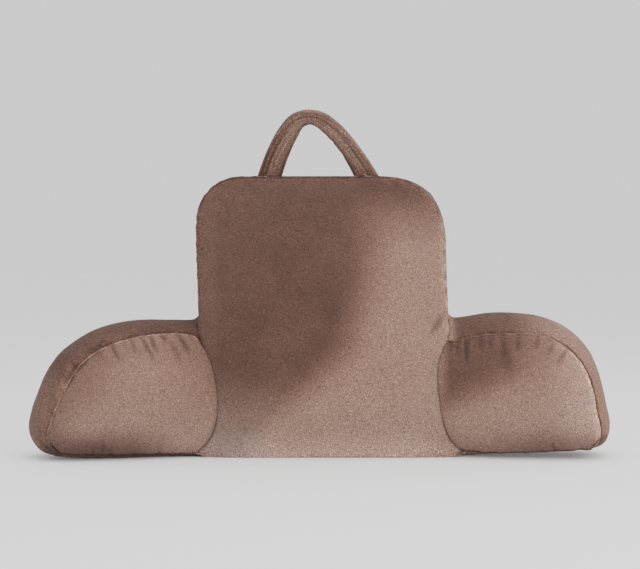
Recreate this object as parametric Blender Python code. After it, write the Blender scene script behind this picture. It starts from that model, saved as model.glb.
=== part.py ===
"""Reading pillow with arms: a stuffed backrest, two stuffed arms opened out to the sides, and a strap handle.

Metres. +X is to the right as the pillow is faced, -Y is its front, +Z is up. The origin is the middle of
the flat face that the backrest stands on. Left and right are as the pillow is faced.

Each stuffed piece is two panels joined by a boxing strip. A panel is a four-sided patch between its seam
lines, crowned towards its middle. The strip bulges outwards between the two seams.
"""

import bmesh
import bpy
import numpy as np

CLEARANCE = 0.0003  # between pieces that are sewn together
SETTLING = 0.004  # half the height over which a rounded underside turns flat on the surface

# How steeply the filling pushes cloth out from a seam: the lower the power, the steeper
FRONT_POWER = 0.55
BACK_POWER = 0.6
STRIP_POWER = 0.75
BUNCHING = 0.6  # how far a grid's lines close up towards the seams, from 0 to 1
STRIP_ROWS = 7  # of faces from the front seam to the back one

# Backrest
BACKREST_TOP_SEAM = 0.500
BACKREST_BOTTOM_SEAM = -0.003  # before the underside settles on the surface
BACKREST_FRONT = -0.068  # Y of the front seam at the bottom
BACKREST_LEAN = 0.020  # how far the front seam lies further back at the top
BACKREST_BOXING = (0.132, 0.100)  # width of the strip at the bottom and at the top
BACKREST_CROWN_FRONT = 0.046  # how far each panel stands proud of its seams
BACKREST_CROWN_BACK = 0.022
BACKREST_LUMBAR = 0.010  # extra fullness low on the front panel
LUMBAR_SPAN = 0.8  # share of the height that it takes up
BACK_TUCK_IN = 0.07  # the back panel's bottom edge: share by which it is narrower than the front's
BACK_TUCK_UP = 0.012  # how much higher it lies in its middle
BACK_TUCK_ENDS = 0.020  # and how much more at its ends
BACKREST_CORNERS = (0.070, 0.088)  # radius of the left and the right top corner
BACKREST_BULGES = (0.022, 0.009, 0.011, 0.009)  # of the strip at the bottom, right, top and left
BACKREST_SIDES = (
    # height, left seam, right seam
    (BACKREST_BOTTOM_SEAM, -0.226, 0.256),
    (0.100, -0.218, 0.242),
    (0.200, -0.2145, 0.231),
    (0.300, -0.2160, 0.2265),
    (0.395, -0.2195, 0.2220),
)
BACKREST_GRID = (22, 24)  # faces across and up a panel

# Arms
ARM_HINGE = 0.240  # where an arm turns off the backrest, measured from the middle
ARM_BEND = 0.035  # half the length over which it turns
ARM_FRONT = -0.065  # Y of an arm's front seam at the backrest
ARM_BOXING = 0.118
ARM_CROWN_FRONT = 0.038
ARM_CROWN_BACK = 0.026
ARM_BACK_SHORTER = 0.030  # how much later the outer panel starts than the inner one
FLARE_FROM = 0.226  # the backrest's side, which the arm's strip climbs a little
FLARE_REACH = 0.022  # how far out along the arm the climb starts
FLARE_HEIGHTS = (0.215, 0.235)  # it grows from nothing to whole between these
PUCKER_WIDTH = 0.030  # as a share of the panel's length
PUCKER_SPACE = 0.012  # the least share between two columns of a puckered panel
ARM_GRID = (14, 16)  # faces across, before the puckers' own, and up

# An arm's outline is its inner panel's seam: up the inner side, out along the top, down the tip and back
# along the bottom, each side ending where the next one starts. "out" is the distance from the middle of the
# backrest along the arm, "up" the height, "bulge" how far the boxing stands proud there. A pucker is a short
# trough that hangs from the top seam: "place" is a share of the seam's length, "reach" a share of the panel's
# height, "depth" a share of the crown, and "lean" how far its foot lies further in.
LEFT_ARM = dict(
    side=-1,
    turn=np.radians(15),
    rise=0.006,  # of the outer panel's seam over the inner one's, at full height
    flare=0.012,  # how far the strip climbs the backrest's side
    outline=(
        # side, out, up, bulge
        ("inner", 0.222, 0.006, 0.020),
        ("inner", 0.200, 0.026, 0.000),
        ("inner", 0.179, 0.055, 0.000),
        ("inner", 0.170, 0.092, 0.000),
        ("inner", 0.174, 0.132, 0.000),
        ("inner", 0.190, 0.176, 0.000),
        ("top", 0.212, 0.218, 0.024),
        ("top", 0.256, 0.223, 0.021),
        ("top", 0.292, 0.222, 0.023),
        ("top", 0.347, 0.213, 0.028),
        ("top", 0.387, 0.200, 0.033),
        ("top", 0.420, 0.178, 0.033),
        ("tip", 0.450, 0.145, 0.032),
        ("tip", 0.474, 0.103, 0.029),
        ("tip", 0.484, 0.075, 0.027),
        ("tip", 0.490, 0.049, 0.024),
        ("tip", 0.484, 0.031, 0.020),
        ("bottom", 0.466, 0.019, 0.018),
        ("bottom", 0.380, 0.016, 0.024),
        ("bottom", 0.290, 0.014, 0.024),
    ),
    puckers=(
        # place, reach, depth, lean
        (0.12, 0.20, 0.16, 0.10),
        (0.24, 0.26, 0.22, 0.12),
        (0.35, 0.16, 0.12, 0.08),
        (0.46, 0.24, 0.20, 0.12),
        (0.58, 0.14, 0.14, 0.08),
        (0.70, 0.18, 0.18, 0.06),
        (0.82, 0.12, 0.12, 0.04),
    ),
)
RIGHT_ARM = dict(
    side=1,
    turn=np.radians(9),
    rise=0.012,
    flare=0.028,
    outline=(
        # side, out, up, bulge
        ("inner", 0.248, 0.014, 0.020),
        ("inner", 0.226, 0.030, 0.000),
        ("inner", 0.209, 0.055, 0.000),
        ("inner", 0.199, 0.095, 0.000),
        ("inner", 0.195, 0.135, 0.000),
        ("inner", 0.199, 0.175, 0.000),
        ("top", 0.214, 0.206, 0.036),
        ("top", 0.256, 0.212, 0.036),
        ("top", 0.298, 0.221, 0.033),
        ("top", 0.345, 0.223, 0.031),
        ("top", 0.390, 0.221, 0.027),
        ("top", 0.430, 0.206, 0.023),
        ("tip", 0.465, 0.173, 0.019),
        ("tip", 0.488, 0.116, 0.019),
        ("tip", 0.496, 0.084, 0.020),
        ("tip", 0.501, 0.058, 0.020),
        ("tip", 0.498, 0.038, 0.018),
        ("bottom", 0.482, 0.025, 0.014),
        ("bottom", 0.390, 0.020, 0.017),
        ("bottom", 0.300, 0.016, 0.021),
    ),
    puckers=(
        # place, reach, depth, lean
        (0.10, 0.20, 0.16, 0.00),
        (0.20, 0.24, 0.20, 0.00),
        (0.30, 0.16, 0.14, 0.00),
        (0.40, 0.20, 0.18, 0.00),
        (0.51, 0.18, 0.18, 0.02),
        (0.63, 0.20, 0.16, 0.03),
        (0.76, 0.16, 0.18, 0.06),
        (0.88, 0.12, 0.12, 0.08),
    ),
)

# Handle: a flat stuffed strap, along its middle line from the left root to the right one. Roll is its turn
# about that line, and at no roll its flat side faces the front.
STRAP_WIDTH = 0.043
STRAP_THICKNESS = 0.013
STRAP_SQUARENESS = 2.6  # of its section: 2 is an ellipse, more is boxier
STRAP_GRID = (45, 14)  # faces along and round it
STRAP_ROUTE = (
    # X, Y, Z, roll in degrees, width as a share of the strap's
    (-0.097, -0.026, 0.490, 0, 1.02),
    (-0.0915, -0.026, 0.509, 0, 1.00),
    (-0.077, -0.026, 0.552, 6, 1.00),
    (-0.059, -0.024, 0.588, 24, 1.00),
    (-0.040, -0.021, 0.609, 46, 0.98),
    (-0.018, -0.018, 0.617, 60, 0.96),
    (0.002, -0.019, 0.611, 54, 0.98),
    (0.022, -0.021, 0.595, 44, 0.98),
    (0.045, -0.024, 0.570, 40, 0.97),
    (0.066, -0.026, 0.540, 32, 0.97),
    (0.083, -0.026, 0.511, 22, 0.97),
    (0.094, -0.026, 0.490, 18, 1.00),
)

BODY_COLOUR = (0.22, 0.135, 0.105, 1.0)
STRAP_COLOUR = (0.15, 0.085, 0.065, 1.0)


def bunched(count):
    """Fractions from 0 to 1, closer together towards both ends."""
    even = np.linspace(0, 1, count + 1)
    return (1 - BUNCHING) * even + BUNCHING * (1 - np.cos(np.pi * even)) / 2


def curve_through(rows, places, measured):
    """A smooth curve through the rows, read at fractions of its length: a cubic between each two of them,
    whose slope at a row is that of the parabola through it and its neighbours. Length is taken over the
    first columns only, as many as measured says.
    """
    rows = np.array(rows, float)
    steps = np.linalg.norm(np.diff(rows[:, :measured], axis=0), axis=1)
    along = np.append(0, np.cumsum(steps))
    slopes = np.gradient(rows, along, axis=0)
    at = places * along[-1]
    i = np.clip(np.searchsorted(along, at, side="right") - 1, 0, len(steps) - 1)
    step = steps[i][:, None]
    t = ((at - along[i]) / steps[i])[:, None]
    return (
        (2 * t**3 - 3 * t**2 + 1) * rows[i]
        + (t**3 - 2 * t**2 + t) * step * slopes[i]
        + (3 * t**2 - 2 * t**3) * rows[i + 1]
        + (t**3 - t**2) * step * slopes[i + 1]
    )


def seam_patch(inner, outer, bottom, top, across, up):
    """A grid between four seams, given as rows of out, up and bulge: the blend from side to side plus the
    blend from end to end, less the blend of the corners.
    """
    inner, outer = (curve_through(rows, up, measured=2) for rows in (inner, outer))
    bottom, top = (curve_through(rows, across, measured=2) for rows in (bottom, top))
    s = across[:, None, None]
    t = up[None, :, None]
    sideways = (1 - s) * inner[None] + s * outer[None]
    endways = (1 - t) * bottom[:, None] + t * top[:, None]
    low = (1 - s) * bottom[0] + s * bottom[-1]
    high = (1 - s) * top[0] + s * top[-1]
    return sideways + endways - (1 - t) * low - t * high


def swell(across, up, power):
    """1 in the middle of a panel and 0 at its seams, rising steeply at first."""
    return (4 * across * (1 - across))[:, None] ** power * (4 * up * (1 - up)) ** power


def gathers(across, up, puckers):
    """Share of the crown that the puckers take away: a short trough for each."""
    below = 1 - up[None, :]
    total = np.zeros((len(across), len(up)))
    for place, reach, depth, lean in puckers:
        beside = (across[:, None] - place + lean * below) / PUCKER_WIDTH
        total += depth * np.exp(-(beside**2)) * np.clip(1 - below / reach, 0, 1)
    return total


def pucker_columns(count, puckers):
    """Fractions across a panel: one at the bottom of each pucker, one between each two, and others clear
    of these.
    """
    places = np.array([row[0] for row in puckers])
    own = np.append(places, (places[1:] + places[:-1]) / 2)
    others = [place for place in bunched(count) if np.abs(own - place).min() > PUCKER_SPACE]
    return np.sort(np.append(own, others))


def settled(height):
    """Height with all that hangs below the surface laid flat on it, and a soft turn between."""
    turning = (height + SETTLING) ** 2 / (4 * SETTLING)
    return np.where(height < -SETTLING, 0, np.where(height > SETTLING, height, turning))


def rim(columns, rows):
    """Grid places of a patch's edge, in order round it from the lower inner corner."""
    across = (np.arange(columns), np.full(rows, columns), np.arange(columns, 0, -1), np.zeros(rows))
    up = (np.zeros(columns), np.arange(rows), np.full(columns, rows), np.arange(rows, 0, -1))
    return np.concatenate(across).astype(int), np.concatenate(up).astype(int)


def grid_faces(places):
    """Four-sided faces of a grid of vertex numbers."""
    corners = (places[:-1, :-1], places[1:, :-1], places[1:, 1:], places[:-1, 1:])
    return np.stack([corner.ravel() for corner in corners], axis=1).tolist()


def stuffed_form(front, back, crown_front, crown_back, width, place):
    """Vertices and faces of a closed stuffed form.

    front and back are grids of out, up and bulge; the crowns are grids of depth proud of the seams; width is
    the boxing's. place turns out, up and the depth behind the front seam into X, Y and Z.
    """
    columns, rows = front.shape[0] - 1, front.shape[1] - 1
    i, j = rim(columns, rows)
    edge = front[i, j]
    along = np.roll(edge[:, :2], -1, axis=0) - np.roll(edge[:, :2], 1, axis=0)
    outward = np.stack((along[:, 1], -along[:, 0]), axis=1)
    outward /= np.linalg.norm(outward, axis=1, keepdims=True)

    behind = np.linspace(0, 1, STRIP_ROWS + 1)[1:-1, None]
    bulge = edge[:, 2] * (4 * behind * (1 - behind)) ** STRIP_POWER
    strip = (1 - behind)[..., None] * edge[:, :2] + behind[..., None] * back[i, j][:, :2]
    strip += bulge[..., None] * outward

    points = (
        place(front[..., 0], front[..., 1], -crown_front),
        place(back[..., 0], back[..., 1], width + crown_back),
        place(strip[..., 0], strip[..., 1], behind * width[i, j]),
    )
    count = (columns + 1) * (rows + 1)
    front_places = np.arange(count).reshape(columns + 1, rows + 1)
    back_places = front_places + count
    strip_places = 2 * count + np.arange(strip[..., 0].size).reshape(-1, len(i))
    belt = np.vstack((front_places[i, j], strip_places, back_places[i, j]))
    belt = np.hstack((belt, belt[:, :1]))
    faces = grid_faces(front_places) + grid_faces(back_places) + grid_faces(belt)
    return np.vstack([part.reshape(-1, 3) for part in points]), faces


def backrest_seam(across, up):
    """The backrest's front seam as a patch, with two rounded top corners."""
    bottom_bulge, right_bulge, top_bulge, left_bulge = BACKREST_BULGES
    sides = np.array(BACKREST_SIDES)
    half_turn = np.linspace(0, np.pi / 4, 5)

    def side(x, bulge, outward, radius):
        """One side up to the middle of its corner's arc, and the arc's other half, from the top down."""
        centre_x = x[-1] - outward * radius
        centre_z = BACKREST_TOP_SEAM - radius
        straight = np.stack((x, sides[:, 0], np.full(len(x), bulge)), axis=1)
        straight[0, 2] = bottom_bulge
        lower = (
            centre_x + outward * radius * np.cos(half_turn),
            centre_z + radius * np.sin(half_turn),
            np.full(len(half_turn), bulge),
        )
        upper = (
            centre_x + outward * radius * np.sin(half_turn),
            centre_z + radius * np.cos(half_turn),
            np.linspace(top_bulge, bulge, len(half_turn)),
        )
        return np.vstack((straight, np.stack(lower, axis=1))), np.stack(upper, axis=1)

    left, left_arc = side(sides[:, 1], left_bulge, -1, BACKREST_CORNERS[0])
    right, right_arc = side(sides[:, 2], right_bulge, 1, BACKREST_CORNERS[1])
    lead = np.array((BACKREST_CORNERS[0] / 2, 0, 0))
    top = np.vstack((left_arc[::-1], left_arc[0] + lead, right_arc[0] - lead, right_arc))
    bottom = [(sides[0, k], BACKREST_BOTTOM_SEAM, bottom_bulge) for k in (1, 2)]
    return seam_patch(left, right, bottom, top, across, up)


def backrest_form():
    """The backrest, leaning back a little and fullest low on its front."""
    across, up = (bunched(count) for count in BACKREST_GRID)
    front = backrest_seam(across, up)
    share = np.clip(front[..., 1] / BACKREST_TOP_SEAM, 0, 1)
    width = BACKREST_BOXING[0] * (1 - share) + BACKREST_BOXING[1] * share
    lumbar = BACKREST_LUMBAR * np.sin(np.pi * np.clip(share / LUMBAR_SPAN, 0, 1)) ** 2

    low = (1 - up) ** 6
    beside = np.abs(2 * across - 1)[:, None] ** 8
    back = front.copy()
    back[..., 0] *= 1 - BACK_TUCK_IN * low
    back[..., 1] += (BACK_TUCK_UP + BACK_TUCK_ENDS * beside) * low

    def place(x, height, depth):
        lean = BACKREST_LEAN * np.clip(height / BACKREST_TOP_SEAM, 0, 1)
        return np.stack((x, BACKREST_FRONT + lean + depth, settled(height)), axis=-1)

    crown_front = (BACKREST_CROWN_FRONT + lumbar) * swell(across, up, FRONT_POWER)
    crown_back = BACKREST_CROWN_BACK * swell(across, up, BACK_POWER)
    return stuffed_form(front, back, crown_front, crown_back, width, place)


def arm_sides(outline):
    """The four sides of an outline, each from its lower or inner end to the other, with both corners."""
    numbers = [row[1:] for row in outline]
    starts = [i for i, row in enumerate(outline) if row[0] != outline[i - 1][0]] + [len(outline)]
    closed = numbers + numbers[:1]
    inner, top, tip, bottom = (closed[a : b + 1] for a, b in zip(starts[:-1], starts[1:]))
    return inner, tip[::-1], bottom[::-1], top


def arm_form(arm):
    """One arm, its inner end still running into the backrest."""
    across, up = pucker_columns(ARM_GRID[0], arm["puckers"]), bunched(ARM_GRID[1])
    front = seam_patch(*arm_sides(arm["outline"]), across, up)
    back = front.copy()
    back[..., 0] += ARM_BACK_SHORTER * (1 - across)[:, None] ** 4
    back[..., 1] += arm["rise"] * (front[..., 1] / front[..., 1].max()) ** 2

    def place(out, height, depth):
        """Straight on to the hinge, round a short arc there, and straight on at the arm's angle."""
        turn = arm["turn"]
        radius = 2 * ARM_BEND / turn
        turned = np.clip(out - ARM_HINGE + ARM_BEND, 0, 2 * ARM_BEND) / radius
        past = np.clip(out - ARM_HINGE - ARM_BEND, 0, None)
        x = np.minimum(out, ARM_HINGE - ARM_BEND) + radius * np.sin(turned) + past * np.cos(turn)
        forward = radius * (1 - np.cos(turned)) + past * np.sin(turn)
        climb = np.clip(1 - (out - FLARE_FROM) / FLARE_REACH, 0, 1.5) ** 2
        climb = climb * np.clip((height - FLARE_HEIGHTS[0]) / np.ptp(FLARE_HEIGHTS), 0, 1)
        return np.stack(
            (
                arm["side"] * (x + depth * np.sin(turned)),
                ARM_FRONT - forward + depth * np.cos(turned),
                settled(height + arm["flare"] * climb),
            ),
            axis=-1,
        )

    puckered = 1 - gathers(across, up, arm["puckers"])
    crown_front = ARM_CROWN_FRONT * swell(across, up, FRONT_POWER) * puckered
    crown_back = ARM_CROWN_BACK * swell(across, up, BACK_POWER)
    width = np.full(front.shape[:2], ARM_BOXING)
    return stuffed_form(front, back, crown_front, crown_back, width, place)


def strap_form():
    """The handle: a rounded flat section carried along its route, its roots running into the backrest."""
    route = curve_through(STRAP_ROUTE, np.linspace(0, 1, STRAP_GRID[0] + 1), measured=3)
    centre = route[:, :3]
    along = np.gradient(centre, axis=0)
    along /= np.linalg.norm(along, axis=1, keepdims=True)
    back = np.array((0.0, 1.0, 0.0)) - along * along[:, 1:2]
    back /= np.linalg.norm(back, axis=1, keepdims=True)
    outer = np.cross(back, along)
    roll = np.radians(route[:, 3])[:, None]
    wide = np.cos(roll) * outer + np.sin(roll) * back
    thick = np.cos(roll) * back - np.sin(roll) * outer

    angle = np.linspace(0, 2 * np.pi, STRAP_GRID[1], endpoint=False)
    rounding = 2 / STRAP_SQUARENESS
    across = np.sign(np.cos(angle)) * np.abs(np.cos(angle)) ** rounding * STRAP_WIDTH / 2
    deep = np.sign(np.sin(angle)) * np.abs(np.sin(angle)) ** rounding * STRAP_THICKNESS / 2
    across = across * route[:, 4:5]
    rings = centre[:, None] + across[..., None] * wide[:, None] + deep[:, None] * thick[:, None]
    places = np.arange(rings[..., 0].size).reshape(rings.shape[:2])
    ends = [places[0].tolist(), places[-1].tolist()]
    return rings.reshape(-1, 3), grid_faces(np.hstack((places, places[:, :1]))) + ends


def mesh_object(name, form, material, grown=0.0):
    """A smooth-shaded object whose faces point outwards, its points moved out by grown."""
    vertices, faces = form
    work = bmesh.new()
    points = [work.verts.new(vertex) for vertex in vertices]
    for face in faces:
        work.faces.new([points[k] for k in face])
    bmesh.ops.triangulate(work, faces=work.faces)
    bmesh.ops.recalc_face_normals(work, faces=work.faces)
    work.normal_update()
    for point in work.verts:
        point.co += point.normal * grown
    mesh = bpy.data.meshes.new(name)
    work.to_mesh(mesh)
    work.free()
    mesh.materials.append(material)
    mesh.shade_smooth()
    piece = bpy.data.objects.new(name, mesh)
    bpy.context.scene.collection.objects.link(piece)
    return piece


def cut_to_fit(piece, neighbour):
    """Takes from a piece what lies inside its neighbour's grown copy."""
    cut = piece.modifiers.new("fit", "BOOLEAN")
    cut.operation = "DIFFERENCE"
    cut.object = neighbour


def plush(name, colour):
    """Short-pile plush: dull, with a soft sheen."""
    material = bpy.data.materials.new(name)
    material.use_nodes = True
    shader = material.node_tree.nodes["Principled BSDF"]
    shader.inputs["Base Color"].default_value = colour
    shader.inputs["Roughness"].default_value = 0.9
    shader.inputs["Metallic"].default_value = 0.0
    shader.inputs["Sheen Weight"].default_value = 0.4
    return material


for leftover in list(bpy.data.objects):
    bpy.data.objects.remove(leftover)

mesh_object("backrest", backrest_form(), plush("backrest plush", BODY_COLOUR))
grown_backrest = mesh_object("grown_backrest", backrest_form(), None, grown=CLEARANCE)
grown_backrest.hide_render = True
grown_backrest.display_type = "WIRE"

for name, form, colour in (
    ("arm_left", arm_form(LEFT_ARM), BODY_COLOUR),
    ("arm_right", arm_form(RIGHT_ARM), BODY_COLOUR),
    ("handle", strap_form(), STRAP_COLOUR),
):
    cut_to_fit(mesh_object(name, form, plush(name + " plush", colour)), grown_backrest)
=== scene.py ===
"""Reading pillow with arms, in short-pile plush: a stuffed backrest, two stuffed arms and a strap handle."""

import bmesh
import bpy
import numpy as np
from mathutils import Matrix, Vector


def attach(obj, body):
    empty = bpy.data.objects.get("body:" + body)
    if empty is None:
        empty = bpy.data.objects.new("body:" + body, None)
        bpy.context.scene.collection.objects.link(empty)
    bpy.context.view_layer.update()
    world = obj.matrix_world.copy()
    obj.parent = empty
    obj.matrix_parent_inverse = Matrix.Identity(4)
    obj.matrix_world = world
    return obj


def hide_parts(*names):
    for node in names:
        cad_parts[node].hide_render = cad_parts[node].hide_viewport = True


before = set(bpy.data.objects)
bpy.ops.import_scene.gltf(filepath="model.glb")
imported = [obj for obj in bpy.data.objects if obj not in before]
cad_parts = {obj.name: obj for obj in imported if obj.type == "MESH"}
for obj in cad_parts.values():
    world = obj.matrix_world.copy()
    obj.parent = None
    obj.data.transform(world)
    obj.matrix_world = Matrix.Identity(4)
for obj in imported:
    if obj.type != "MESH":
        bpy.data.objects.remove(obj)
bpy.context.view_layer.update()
scene = bpy.context.scene

# ---- View --------------------------------
# The pillow stands on a wide pale floor in soft studio light, the larger light being to the right. The
# camera stands level with the middle of the arms' tops, far enough off to flatten the depth.

CAMERA_PLACE = (0.0, -2.665, 0.36)
CAMERA_DROP = np.radians(1.0637)  # how far it looks below level
CAMERA_LENS = 81.25
HALF_FLOOR = 30.0
FLOOR_GLOW = 0.12  # so that no horizon shows
STUDIO_AIR = (1.0, 1.0, 1.0, 1.0)
STUDIO_AIR_STRENGTH = 1.2
LIGHTS = (
    # name, place, side, watts
    ("overhead light", (0.5, -0.7, 3.0), 2.6, 50),
    ("side light", (1.6, -3.0, 1.8), 1.8, 50),
)
LIGHT_AIM = (0.0, 0.0, 0.25)

camera = bpy.data.objects.new("camera", bpy.data.cameras.new("camera"))
camera.data.lens = CAMERA_LENS
camera.location = CAMERA_PLACE
camera.rotation_euler = (np.pi / 2 - CAMERA_DROP, 0, 0)
scene.collection.objects.link(camera)
scene.camera = camera

world = bpy.data.worlds.new("studio air")
world.use_nodes = True
air_shader = world.node_tree.nodes["Background"]
air_shader.inputs["Color"].default_value = STUDIO_AIR
air_shader.inputs["Strength"].default_value = STUDIO_AIR_STRENGTH
scene.world = world

for light_name, place, side, watts in LIGHTS:
    light = bpy.data.objects.new(light_name, bpy.data.lights.new(light_name, "AREA"))
    light.data.size = side
    light.data.energy = watts
    light.location = place
    light.rotation_euler = (Vector(place) - Vector(LIGHT_AIM)).to_track_quat("Z", "Y").to_euler()
    scene.collection.objects.link(light)

floor_mesh = bpy.data.meshes.new("floor")
corners = [(x * HALF_FLOOR, y * HALF_FLOOR, 0) for x, y in ((-1, -1), (1, -1), (1, 1), (-1, 1))]
floor_mesh.from_pydata(corners, [], [(0, 1, 2, 3)])
floor = bpy.data.objects.new("floor", floor_mesh)
scene.collection.objects.link(floor)
floor_paint = bpy.data.materials.new("floor paint")
floor_paint.use_nodes = True
paint_shader = floor_paint.node_tree.nodes["Principled BSDF"]
paint_shader.inputs["Base Color"].default_value = (0.9, 0.9, 0.9, 1)
paint_shader.inputs["Roughness"].default_value = 0.9
paint_shader.inputs["Emission Strength"].default_value = FLOOR_GLOW
floor_mesh.materials.append(floor_paint)

# ---- Backrest ----------------------------
# A tall stuffed cushion: two plush panels joined by a boxing strip, stuffed full with loose fibre. It leans
# back a little, is fullest low on its front and sits flat on its lower side.

BACKREST_TOP_SEAM = 0.5065
BACKREST_FRONT = -0.068  # Y of the front seam at the bottom
BACKREST_LEAN = 0.020
BACKREST_BOXING = (0.132, 0.100)  # width of the strip at the bottom and at the top
BACKREST_CROWN_FRONT = 0.046
BACKREST_CROWN_BACK = 0.022
BACKREST_LUMBAR = 0.010
LUMBAR_SPAN = 0.8  # share of the height that is fuller by it
BACK_TUCK_IN = 0.07  # the back panel's lower edge is drawn in and up, more at its ends
BACK_TUCK_UP = 0.012
BACK_TUCK_ENDS = 0.020
BACK_TUCK_POWERS = (6, 8)  # how fast that fades upwards, and the ends' share inwards
BACKREST_CORNERS = ((0.080, 0.080), (0.106, 0.122))  # reach across and down of each top corner
CORNER_BULGES = (0.004, 0.014)  # of the strip in the middle of them
TOP_BULGE = 0.0035
BACKREST_SIDES = (
    # height, left seam and its strip's bulge, right seam and its strip's bulge
    (0.009, -0.2290, 0.008, 0.2640, 0.005),
    (0.100, -0.2225, 0.004, 0.2465, 0.005),
    (0.200, -0.2190, 0.004, 0.2345, 0.005),
    (0.300, -0.2205, 0.004, 0.2295, 0.005),
    (0.380, -0.2235, 0.004, 0.2270, 0.006),
)
BACKREST_UNDERSIDE = (
    # X, height before it settles on the floor, bulge
    (-0.190, -0.002, 0.022),
    (0.020, -0.003, 0.022),
    (0.205, -0.002, 0.022),
    (0.240, 0.002, 0.010),
)
BACKREST_GRID = (96, 104, 26)  # faces across and up a panel, and across the strip
ARC_POINTS = 5  # on half of a corner's arc

SETTLING = 0.004  # half the height over which cloth turns on to the floor
FRONT_POWER = 0.55  # how steeply the filling pushes cloth out from a seam: the lower, the steeper
BACK_POWER = 0.6
STRIP_POWER = 0.75
BUNCHING = 0.75  # how far a grid's lines close up towards the seams

SEAM_RIDGE = 0.0010  # how far the stitched edges stand up, and half their width
SEAM_RIDGE_WIDTH = 0.0014
SEAM_GROOVE = 0.0018  # the groove on each side of them, its place and half its width
SEAM_GROOVE_PLACE = 0.0036
SEAM_GROOVE_WIDTH = 0.0018
SEAM_PUCKER = 0.0004  # its unevenness, how far that reaches, and its waves to a metre, in radians
SEAM_PUCKER_REACH = 0.012
SEAM_PUCKERS = ((260, 190, 230), (-170, 120, 410))
SEAM_DARK_WIDER = 0.4  # how much wider the darkest groove's shade is than the groove
SEAM_RUB_AND_LIGHT_WIDTH = 0.0011  # half width of the seam's line of rubbed pile and painted highlight, and of the painted light at a panel's and a strip's edge
EDGE_LIGHT_WIDTH = 0.0095
STRIP_LIGHT_WIDTH = 0.026
RUB_AND_LIGHT_HEIGHT = 0.030  # by the floor, to about this height, there is neither rubbing nor painted light
SEAM_PATCHES = 55.0  # patches of more and less rubbing and painted light, to a metre
CREASE_DARK = 0.66  # painted shade where two pieces meet, and its reach
CREASE_REACH = 0.0020
CREASE_SHADE = 0.10  # and the fainter, wider shade beside it
CREASE_SHADE_REACH = 0.009
CREASE_FADE = 0.45  # how much fainter both are from this height to twice it, and above
CREASE_HEIGHT = 0.050

CLOTH_FRAMES = 20
CLOTH_SETTINGS = dict(
    quality=4,
    mass=0.3,
    tension_stiffness=15,
    compression_stiffness=15,
    shear_stiffness=5,
    bending_stiffness=0.5,
    use_pressure=True,
    uniform_pressure_force=4.0,
    vertex_group_shrink="full",
    shrink_min=0,
    shrink_max=-0.05,  # where it is fullest, the cloth is this much larger than the form
    vertex_group_mass="held",
)
CLOTH_MOST = 0.006  # the most that a point moves
CLOTH_FADE = 0.015  # this far off the seams, it starts smaller than the form
BACKREST_SMALLER = 0.003
BACKREST_FULLNESS = 0.2  # of the most fullness
ON_SEAM = 1e-4  # a point this near a seam, or this near the floor, is held still
ON_FLOOR = 0.001

# Where the pile turns from its dark lay, on the left, to its light lay
BACKREST_NAP = (
    # height, X of the turn, its width
    (0.040, -0.160, 0.150),
    (0.061, -0.120, 0.150),
    (0.107, -0.057, 0.150),
    (0.134, -0.018, 0.145),
    (0.161, 0.016, 0.130),
    (0.188, 0.046, 0.120),
    (0.215, 0.062, 0.116),
    (0.268, 0.080, 0.112),
    (0.349, 0.098, 0.112),
    (0.385, 0.102, 0.112),
    (0.430, 0.084, 0.130),
    (0.465, 0.072, 0.150),
)
NAP_BEHIND = 0.15  # the pile's level on the strip and the back
NAP_MOST = 1.04
NAP_TOP = 0.428  # the light lay ends at this height
NAP_TOP_WIDTH = 0.135
NAP_LOW = 0.094  # and below this one the pile is light all along
NAP_LOW_WIDTH = 0.190
NAP_LOW_LEVEL = 0.79
# A span is where something sets in, and over what width: below 0, towards the left or downwards.
NAP_FOOT = 0.76  # more of it where the lowest part turns under
NAP_FOOT_SPAN = (0.055, -0.055)
NAP_RIGHT = 0.20  # and towards the right seam, low down
NAP_RIGHT_SPAN = (0.200, 0.050)
NAP_RIGHT_LOW_SPAN = (0.400, -0.050)
NAP_LEFT = 0.12  # some along the left seam
NAP_LEFT_SPAN = (-0.172, -0.030)
CORNER_SHADE = 0.50  # less low at the right: painted shade by the right arm's crease, setting in faster than at the foot
NAP_CORNER_SPAN = (0.170, 0.080)
NAP_CORNER_FASTER = 3

GREY_SPAN = (0.170, -0.170)  # the pile is greyer low down, less at the right
GREY_RIGHT_SPAN = (-0.140, 0.070)
GREY_RIGHT = 0.30
STRIP_GREY = -0.2  # below 0, the colour is fuller
PANEL_MOTTLE = 0.12  # how ruffled the pile is on a panel, more along its edge and on a strip
EDGE_MOTTLE = 0.35
EDGE_MOTTLE_WIDTH = 0.014
STRIP_MOTTLE = 0.45
FOLD_DARK_DEPTH = 0.0075  # a fold this deep gets wholly dark painted shade
FOLD_DARK_MOST = 0.85
FOLD_MOST = 0.6  # the most of a panel's crown that its folds take

BACKREST_FOLDS = (
    # from X, height to X, height, depth, half width: short pulls from where the arms are sewn on
    (0.231, 0.264, 0.194, 0.218, 0.0046, 0.0050),
    (0.229, 0.246, 0.204, 0.224, 0.0022, 0.0036),
    (-0.226, 0.250, -0.190, 0.226, 0.0022, 0.0050),
    (0.236, -0.004, 0.280, 0.026, 0.0060, 0.0040),
)

# Places, which are X times the side, and how much the seam is rubbed and lit by painted highlight there, and
# how much painted light the panel's edge and the strip's get, or painted shade below 0. Likewise how dark the
# painted shade in the strip's groove is.
BACKREST_SEWN = dict(
    side=1,
    seam_rub_and_light=((-0.15, -0.10, 0.10, 0.15), (0.5, -0.6, -0.6, 0.5)),
    edge_painted_light=((0.06, 0.13), (0.0, 0.8)),
    strip_painted_light=((0.06, 0.13), (0.0, 0.25)),
    seam_dark=((0.0,), (0.3,)),
)

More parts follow.
